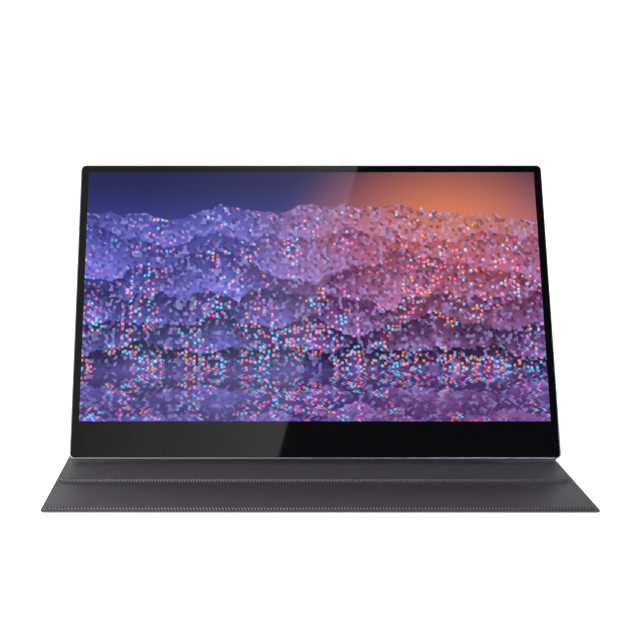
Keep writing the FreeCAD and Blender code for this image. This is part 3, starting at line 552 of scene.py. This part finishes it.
def make_lining(name, width, ends, radii, band=None, along_offset=0.0, bend=stay_flat):
    """The inner sheet of one panel, drawn flat, raised over its board and bent to its place."""
    sheet = start_sheet(name)
    add_outline(sheet, width, *ends, slope_top, panel_thickness, corner_radius, corner_radius)
    add_outline(sheet, width, *ends, slope_foot, edge_level, corner_radius, corner_radius)
    bpy.ops.mesh.select_all(action="SELECT")
    bpy.ops.mesh.delete(type="ONLY_FACE")
    bpy.ops.mesh.select_all(action="SELECT")
    bpy.ops.mesh.bridge_edge_loops(number_cuts=slope_steps)
    select_where(sheet, "EDGE", lies_at(panel_thickness))
    bpy.ops.mesh.edge_face_add()
    # The margin's outline is drawn below the slope's foot, to tell the two apart, and then raised.
    drawn_level = edge_level - slope_foot
    add_outline(sheet, width, *ends, 0.0, drawn_level, *radii)
    select_where(sheet, "FACE", lies_at(drawn_level))
    bpy.ops.mesh.delete(type="ONLY_FACE")
    select_where(sheet, "EDGE", lambda edge: lies_at(drawn_level)(edge) or lies_at(edge_level)(edge))
    bpy.ops.mesh.bridge_edge_loops()
    select_where(sheet, "VERT", lambda vertex: abs(vertex.co.z - drawn_level) < tiny)
    bpy.ops.transform.translate(value=(0, 0, slope_foot))
    if band:
        run_on(sheet, *band)
    finish_sheet(sheet, lining_thickness, along_offset, bend)
    return sheet


def make_flat_sheet(name, width, ends, radii, thickness, level, band=None, along_offset=0.0, bend=stay_flat):
    """A sheet of one panel with no board under it, drawn flat from end to end and bent to its place."""
    sheet = start_sheet(name)
    add_outline(sheet, width, *ends, 0.0, level, *radii)
    if band:
        run_on(sheet, *band)
    finish_sheet(sheet, thickness, along_offset, bend)
    return sheet


def declare_sheets(panel, lining, skin):
    """Hide the CAD solids that a panel's two sheets stand for."""
    for piece, node, slot in ((lining, "_lining", "leather_inside"), (skin, "_skin", "leather_outside")):
        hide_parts(panel + node)


base_ends = (folds["crease"].y + band_reach, folds["spine"].y - band_reach)
folded_radii = (fold_corner_radius, fold_corner_radius)
base_lining = make_lining("base_leather_lining", cover_width, base_ends, folded_radii)
base_skin = make_flat_sheet("base_leather_skin", cover_width, base_ends, folded_radii, skin_thickness,
                            skin_thickness)
for piece in (base_lining, base_skin):
    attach(piece, "base")
declare_sheets("base", base_lining, base_skin)

# Front flap of the cover
# The same two sheets of leather, glued round a narrow board. The flap joins the base at a pressed crease,
# where the sheets lie flat on each other, and folds up there.
flap_ends = (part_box("flap_skin")[0].y, folds["crease"].y - band_reach)
flap_radii = (corner_radius, fold_corner_radius)
crease_band = (flap_ends[1], base_ends[0])
flap_lining = make_lining("flap_leather_lining", cover_width, flap_ends, flap_radii, crease_band)
flap_skin = make_flat_sheet("flap_leather_skin", cover_width, flap_ends, flap_radii, skin_thickness,
                            skin_thickness, crease_band)
for piece in (flap_lining, flap_skin):
    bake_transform(piece)
declare_sheets("flap", flap_lining, flap_skin)

# Spine of the cover
# A narrow strip of the two leather sheets, glued together with no board between them. It folds at both of
# its long sides, against the base and at the strut's foot.
spine_ends = (folds["spine"].y + band_reach, folds["foot"].y - band_reach)
spine_band = (spine_ends[0], base_ends[1])
spine_lining = make_flat_sheet("spine_leather_lining", cover_width, spine_ends, folded_radii,
                               lining_thickness, edge_level, spine_band)
spine_skin = make_flat_sheet("spine_leather_skin", cover_width, spine_ends, folded_radii, skin_thickness,
                             skin_thickness, spine_band)
for piece in (spine_lining, spine_skin):
    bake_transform(piece)
declare_sheets("spine", spine_lining, spine_skin)

# Strut of the cover
# The panel that props the monitor up from behind, a little narrower than the base: leather glued round a
# board, as there. Its leather turns up from the table in a round bend.
strut_low, strut_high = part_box("strut_lining")
rear_width = strut_high.x - strut_low.x
foot = folds["foot"]
back_fold = folds["back"]
fold_level = folds["crease"].z
foot_radius = foot.z
fold_rise = foot_radius - fold_level
foot_to_back = math.hypot(back_fold.y - foot.y, back_fold.z - foot.z)
strut_length = math.sqrt(foot_to_back ** 2 - fold_rise ** 2)
strut_lean = math.atan2(back_fold.z - foot.z, foot.y - back_fold.y) - math.atan2(fold_rise, strut_length)
foot_turn = math.pi - strut_lean
foot_arc = foot_radius * foot_turn


def bend_at_foot(along, level):
    """The place of a point of the strut's flat leather, counted from the foot, once it is turned up."""
    turn = min(max(along, 0.0), foot_arc) / foot_radius
    beyond = along - turn * foot_radius
    radius = foot_radius - level
    y = foot.y + radius * math.sin(turn) + beyond * math.cos(turn)
    z = foot.z - radius * math.cos(turn) + beyond * math.sin(turn)
    return y, z


strut_ends = (foot_arc + foot_radius, foot_arc + strut_length - band_reach)
foot_band = (strut_ends[0], -band_reach)
strut_lining = make_lining("strut_leather_lining", rear_width, strut_ends, folded_radii, foot_band, foot.y,
                           bend_at_foot)
strut_skin = make_flat_sheet("strut_leather_skin", rear_width, strut_ends, folded_radii, skin_thickness,
                             skin_thickness, foot_band, foot.y, bend_at_foot)
for piece in (strut_lining, strut_skin):
    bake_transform(piece)
declare_sheets("strut", strut_lining, strut_skin)

# Back panel of the cover
# The upper panel, leather round a board with magnets in it that hold to the monitor's back. Its leather
# bends over from the strut in a fold.
panel_lean = math.atan2(screen_up.z, screen_up.y)
strut_direction = math.pi - strut_lean
back_turn = strut_direction - panel_lean
back_radius = band_reach / math.tan(back_turn / 2)
back_panel_points = [vertex.co for vertex in frame["nodes"]["back_panel_skin"].data.vertices]
back_panel_length = max(point.dot(screen_up) for point in back_panel_points) - back_fold.dot(screen_up)
strut_way = Vector((0, math.cos(strut_direction), math.sin(strut_direction)))
strut_inward = Vector((0, -math.sin(strut_direction), math.cos(strut_direction)))
bend_middle = back_fold - strut_way * band_reach - strut_inward * back_radius


def bend_at_back(along, level):
    """The place of a point of the back panel's flat leather, counted from the fold, once it is bent over."""
    share = min(max((along + band_reach) / (2 * band_reach), 0.0), 1.0)
    direction = strut_direction - share * back_turn
    radius = back_radius + level - fold_level
    beyond = max(along - band_reach, 0.0)
    y = bend_middle.y - radius * math.sin(direction) + beyond * math.cos(direction)
    z = bend_middle.z + radius * math.cos(direction) + beyond * math.sin(direction)
    return y, z


back_ends = (band_reach, back_panel_length)
back_radii = (fold_corner_radius, corner_radius)
back_band = (band_reach, -band_reach)
back_offset = foot.y + foot_arc + strut_length
back_lining = make_lining("back_panel_leather_lining", rear_width, back_ends, back_radii, back_band,
                          back_offset, bend_at_back)
back_skin = make_flat_sheet("back_panel_leather_skin", rear_width, back_ends, back_radii, skin_thickness,
                            skin_thickness, back_band, back_offset, bend_at_back)
for piece in (back_lining, back_skin):
    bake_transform(piece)
declare_sheets("back_panel", back_lining, back_skin)

# Camera
# It stands in front of the monitor, a little to the left of its middle and a little higher than its top. It
# is level from side to side and looks slightly down.
camera_place = Vector((-44.165, -744.181, 249.350)) * millimetre
camera_down = math.radians(11.2021)
camera_data = bpy.data.cameras.new("camera")
camera_data.lens = 57.758
camera_data.sensor_width = 36.0
camera_data.shift_x = 0.10685
camera = bpy.data.objects.new("camera", camera_data)
camera.location = camera_place
camera.rotation_euler = (math.pi / 2 - camera_down, 0, 0)
scene = bpy.context.scene
scene.collection.objects.link(camera)
scene.camera = camera

# Studio
# A white table top over a white ground and before a white wall, all of acrylic lit from behind. The table
# top ends under the cover's spine, so that the spine can hang down behind it.
floor_size = 8000 * millimetre
ground_level = -500 * millimetre
wall_height = 3000 * millimetre
# Acrylic lit from behind: an even white without gloss. The planes are so large that light rays find them
# without being aimed, which leaves less noise.
back_lit_acrylic = grained_finish("back_lit_white_acrylic", "#f4f4f4", "#fafafa", grain=2.0, relief=0.001,
                                  sockets={"Roughness": 0.9, "Emission Color": colour("#ffffff"),
                                           "Emission Strength": 0.65})
back_lit_acrylic.cycles.emission_sampling = "NONE"
wall_foot = Vector((0, floor_size / 2, ground_level))
floors = [
    ("table_top", Vector((0, folds["spine"].y, 0)), Vector((0, -floor_size / 2, 0))),
    ("ground", wall_foot, Vector((0, -floor_size / 2, ground_level))),
    ("wall", wall_foot + Vector((0, 0, wall_height)), wall_foot),
]
for name, back, front in floors:
    bpy.ops.object.select_all(action="DESELECT")
    bpy.ops.mesh.primitive_plane_add(size=floor_size)
    floor = bpy.context.object
    floor.name = name
    for vertex in floor.data.vertices:
        edge = back if vertex.co.y > 0 else front
        vertex.co = (vertex.co.x, edge.y, edge.z)
    floor.data.materials.append(back_lit_acrylic)

# The room is bright behind the monitor and dim in front of it.
world = bpy.data.worlds.new("studio")
world.use_nodes = True
room = world.node_tree
room_direction = add_node(room, "ShaderNodeTexCoord")
room_axes = add_node(room, "ShaderNodeSeparateXYZ", {"Vector": room_direction.outputs["Generated"]})
room_light = add_node(room, "ShaderNodeMapRange", {
    "Value": room_axes.outputs["Y"], "From Min": -0.4, "From Max": 0.5, "To Min": 0.45, "To Max": 1.7})
room.nodes["Background"].inputs["Color"].default_value = colour("#ffffff")
room.links.new(room_light.outputs["Result"], room.nodes["Background"].inputs["Strength"])
scene.world = world
scene.view_settings.view_transform = "Standard"

# Three soft lamps: their place in millimetres, their power in watts and their colour.
lamps = [
    ("side_lamp", (-800, -500, 160), 10.0, "#fff8f2"),
    ("front_lamp", (-700, -900, 180), 18.0, "#ffffff"),
    ("right_lamp", (450, -1050, 420), 3.8, "#e8e8ff"),
]
lamp_width = 200 * millimetre
lamp_target = Vector((0, folds["crease"].y, 0))
for name, place, power, tint in lamps:
    lamp_data = bpy.data.lights.new(name, "AREA")
    lamp_data.size = lamp_width
    lamp_data.energy = power
    lamp_data.color = colour(tint)[:3]
    lamp = bpy.data.objects.new(name, lamp_data)
    lamp.location = Vector(place) * millimetre
    lamp.rotation_euler = (lamp_target - lamp.location).to_track_quat("-Z", "Y").to_euler()
    scene.collection.objects.link(lamp)

# Two paper cards that show only in mirroring surfaces, a pale one on the left and a black one. The values say
# where they meet, as the camera sees it on the glass, and how far they reach.
glass_plane = screen_up * screen_foot + screen_normal * screen_front
mirrored_camera = camera_place - screen_normal * (2 * (camera_place - glass_plane).dot(screen_normal))
card_reach = 1.2
card_side = 500 * millimetre
card_low = -80 * millimetre
card_high = 320 * millimetre
join_low = -25.3 * millimetre
join_slant = 0.28


def seen_in_glass(x, height):
    """The place in front of the glass that the camera sees mirrored at a spot of it."""
    spot = glass_plane + Vector((x, 0, 0)) + screen_up * height
    return spot + (spot - mirrored_camera) * card_reach


def add_card(name, far_x, material):
    """A card that only mirroring surfaces see, from the join to far_x."""
    bpy.ops.object.select_all(action="DESELECT")
    bpy.ops.mesh.primitive_plane_add(size=1)
    card = bpy.context.object
    card.name = name
    places = [seen_in_glass(x, height) for height in (card_low, card_high)
              for x in (join_low + join_slant * height, far_x)]
    for vertex, place in zip(card.data.vertices, places):
        vertex.co = place
    card.data.materials.append(material)
    card.visible_camera = False
    card.visible_diffuse = False
    card.visible_transmission = False
    card.visible_shadow = False


# Paper lit from behind: pale grey, fading away from the join.
pale_paper, pale_tree, pale_shader = start_material("back_lit_paper", {
    "Base Color": colour("#000000"), "Roughness": 1.0, "Emission Strength": 1.0})
pale_place = add_node(pale_tree, "ShaderNodeTexCoord")
across_join = Vector((1, 0, 0)) - screen_up * join_slant
pale_distance = add_node(pale_tree, "ShaderNodeVectorMath", {
    0: pale_place.outputs["Object"], 1: across_join}, operation="DOT_PRODUCT")
pale_fade = add_node(pale_tree, "ShaderNodeMapRange", {
    "Value": pale_distance, "From Min": seen_in_glass(cad_low.x, 0).dot(across_join),
    "From Max": seen_in_glass(join_low, 0).dot(across_join), "To Min": 0.32, "To Max": 0.95})
pale_tree.links.new(pale_fade.outputs["Result"], pale_shader.inputs["Emission Color"])
# Black paper: no light of its own, and dull.
black_paper = start_material("black_paper", {"Base Color": colour("#000000"), "Roughness": 1.0})[0]
add_card("pale_card", -card_side, pale_paper)
add_card("black_card", card_side, black_paper)
